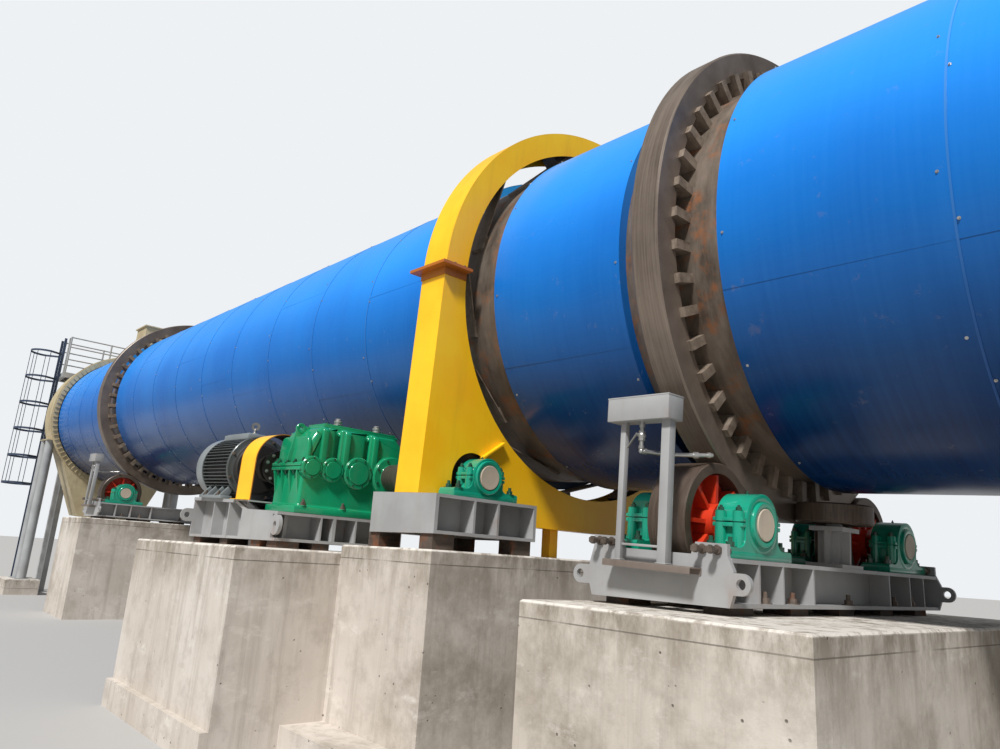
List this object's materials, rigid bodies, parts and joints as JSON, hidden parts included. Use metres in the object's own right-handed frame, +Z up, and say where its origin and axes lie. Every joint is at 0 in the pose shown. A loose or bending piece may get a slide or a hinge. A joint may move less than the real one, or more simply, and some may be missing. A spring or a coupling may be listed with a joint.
{
  "type": "rotary drum dryer",
  "caption": "Inclined rotary drum dryer carried on support rollers and turned through a girth gear, with end hoods, drive train and concrete piers.",
  "frame": {"origin": "on the ground below the drum axis where it crosses the girth gear's plane, on the underside of the pinion pier", "axes": "+X level along the drum towards its lower, discharge end; +Y away from the drive side; +Z up"},
  "size_m": [26.0735, 5.04, 7.1019],
  "materials": {
    "blue_cladding": "gloss coil-coated sheet",
    "dark_forged_steel": "forged steel with thin rust",
    "bare_steel": "turned steel",
    "red_paint": "red oxide primer",
    "green_paint": "gloss enamel",
    "grey_paint": "satin paint",
    "charcoal_paint": "satin paint",
    "yellow_paint": "satin paint",
    "cream_paint": "weathered paint",
    "dark_blue_paint": "satin paint",
    "black_plate": "mill scale and rust",
    "concrete": "cast concrete"
  },
  "bodies": {
    "frame": {"column_plinths": "concrete", "coupling_guard": "yellow_paint", "discharge_columns": "grey_paint", "discharge_duct": "cream_paint", "discharge_hood": "cream_paint", "discharge_hood_end": "cream_paint", "discharge_seal": "cream_paint", "drive_base": "grey_paint", "feed_columns": "grey_paint", "feed_duct": "cream_paint", "feed_hood": "cream_paint", "feed_hood_end": "cream_paint", "feed_seal": "cream_paint", "gear_guard_lower": "yellow_paint", "gear_guard_upper": "yellow_paint", "handrail": "grey_paint", "ladder": "dark_blue_paint", "ladder_cage": "dark_blue_paint", "left_housings": "green_paint", "left_oiler": "grey_paint", "left_pier": "concrete", "left_station_base": "grey_paint", "motor": "charcoal_paint", "motor_pier": "concrete", "packing_plates": "black_plate", "pinion_base": "grey_paint", "pinion_housings": "green_paint", "pinion_pier": "concrete", "platform": "grey_paint", "reducer": "green_paint", "right_housings": "green_paint", "right_oiler": "grey_paint", "right_pier": "concrete", "right_station_base": "grey_paint", "thrust_stands": "grey_paint"},
    "drum": {"drum_shell": "dark_forged_steel", "cladding_feed": "blue_cladding", "cladding_long": "blue_cladding", "cladding_short": "blue_cladding", "cladding_discharge": "blue_cladding", "right_tyre": "dark_forged_steel", "left_tyre": "dark_forged_steel", "right_tyre_pads": "dark_forged_steel", "left_tyre_pads": "dark_forged_steel", "girth_gear": "dark_forged_steel", "gear_springs": "dark_forged_steel"},
    "pinion_shaft": {"pinion": "dark_forged_steel", "low_speed_coupling": "bare_steel"},
    "motor_shaft": {"motor_coupling": "bare_steel"},
    "thrust_down": {"thrust_roller_down": "dark_forged_steel"},
    "thrust_up": {"thrust_roller_up": "dark_forged_steel"},
    "right_near_roller": {"right_near_roller_rim": "dark_forged_steel", "right_near_roller_wheel": "red_paint"},
    "right_far_roller": {"right_far_roller_rim": "dark_forged_steel", "right_far_roller_wheel": "red_paint"},
    "left_near_roller": {"left_near_roller_rim": "dark_forged_steel", "left_near_roller_wheel": "red_paint"},
    "left_far_roller": {"left_far_roller_rim": "dark_forged_steel", "left_far_roller_wheel": "red_paint"}
  },
  "joints": [
    {"name": "drum_spin", "type": "hinge", "parent": "frame", "child": "drum", "pos_m": [0, 0, 3.77], "axis": [0.9993, 0, -0.0371], "continuous": true},
    {"name": "right_near_roller_spin", "type": "hinge", "parent": "frame", "child": "right_near_roller", "pos_m": [1.99685, -1.08515, 1.81504], "axis": [0.9993, 0, -0.0371], "continuous": true},
    {"name": "right_far_roller_spin", "type": "hinge", "parent": "frame", "child": "right_far_roller", "pos_m": [1.99685, 1.08515, 1.81504], "axis": [0.9993, 0, -0.0371], "continuous": true},
    {"name": "left_near_roller_spin", "type": "hinge", "parent": "frame", "child": "left_near_roller", "pos_m": [-11.30099, -1.08515, 2.30869], "axis": [0.9993, 0, -0.0371], "continuous": true},
    {"name": "left_far_roller_spin", "type": "hinge", "parent": "frame", "child": "left_far_roller", "pos_m": [-11.30099, 1.08515, 2.30869], "axis": [0.9993, 0, -0.0371], "continuous": true},
    {"name": "thrust_down_spin", "type": "hinge", "parent": "frame", "child": "thrust_down", "pos_m": [2.35503, 0, 1.95338], "axis": [0.0371, 0, 0.9993], "continuous": true},
    {"name": "thrust_up_spin", "type": "hinge", "parent": "frame", "child": "thrust_up", "pos_m": [1.64992, 0, 1.97956], "axis": [0.0371, 0, 0.9993], "continuous": true},
    {"name": "pinion_spin", "type": "hinge", "parent": "frame", "child": "pinion_shaft", "pos_m": [-0.06081, -1.42496, 2.1319], "axis": [0.9993, 0, -0.0371], "continuous": true},
    {"name": "motor_spin", "type": "hinge", "parent": "frame", "child": "motor_shaft", "pos_m": [-1.90954, -2.215, 2.20053], "axis": [0.9993, 0, -0.0371], "continuous": true}
  ],
  "couplings": [
    {"joint": "right_near_roller_spin", "follows": "drum_spin", "ratio": -4.8649},
    {"joint": "right_far_roller_spin", "follows": "drum_spin", "ratio": -4.8649},
    {"joint": "left_near_roller_spin", "follows": "drum_spin", "ratio": -4.8649},
    {"joint": "left_far_roller_spin", "follows": "drum_spin", "ratio": -4.8649},
    {"joint": "thrust_down_spin", "follows": "drum_spin", "ratio": -6.912},
    {"joint": "thrust_up_spin", "follows": "drum_spin", "ratio": 6.912},
    {"joint": "pinion_spin", "follows": "drum_spin", "ratio": -5.7037},
    {"joint": "motor_spin", "follows": "drum_spin", "ratio": 228.15}
  ]
}
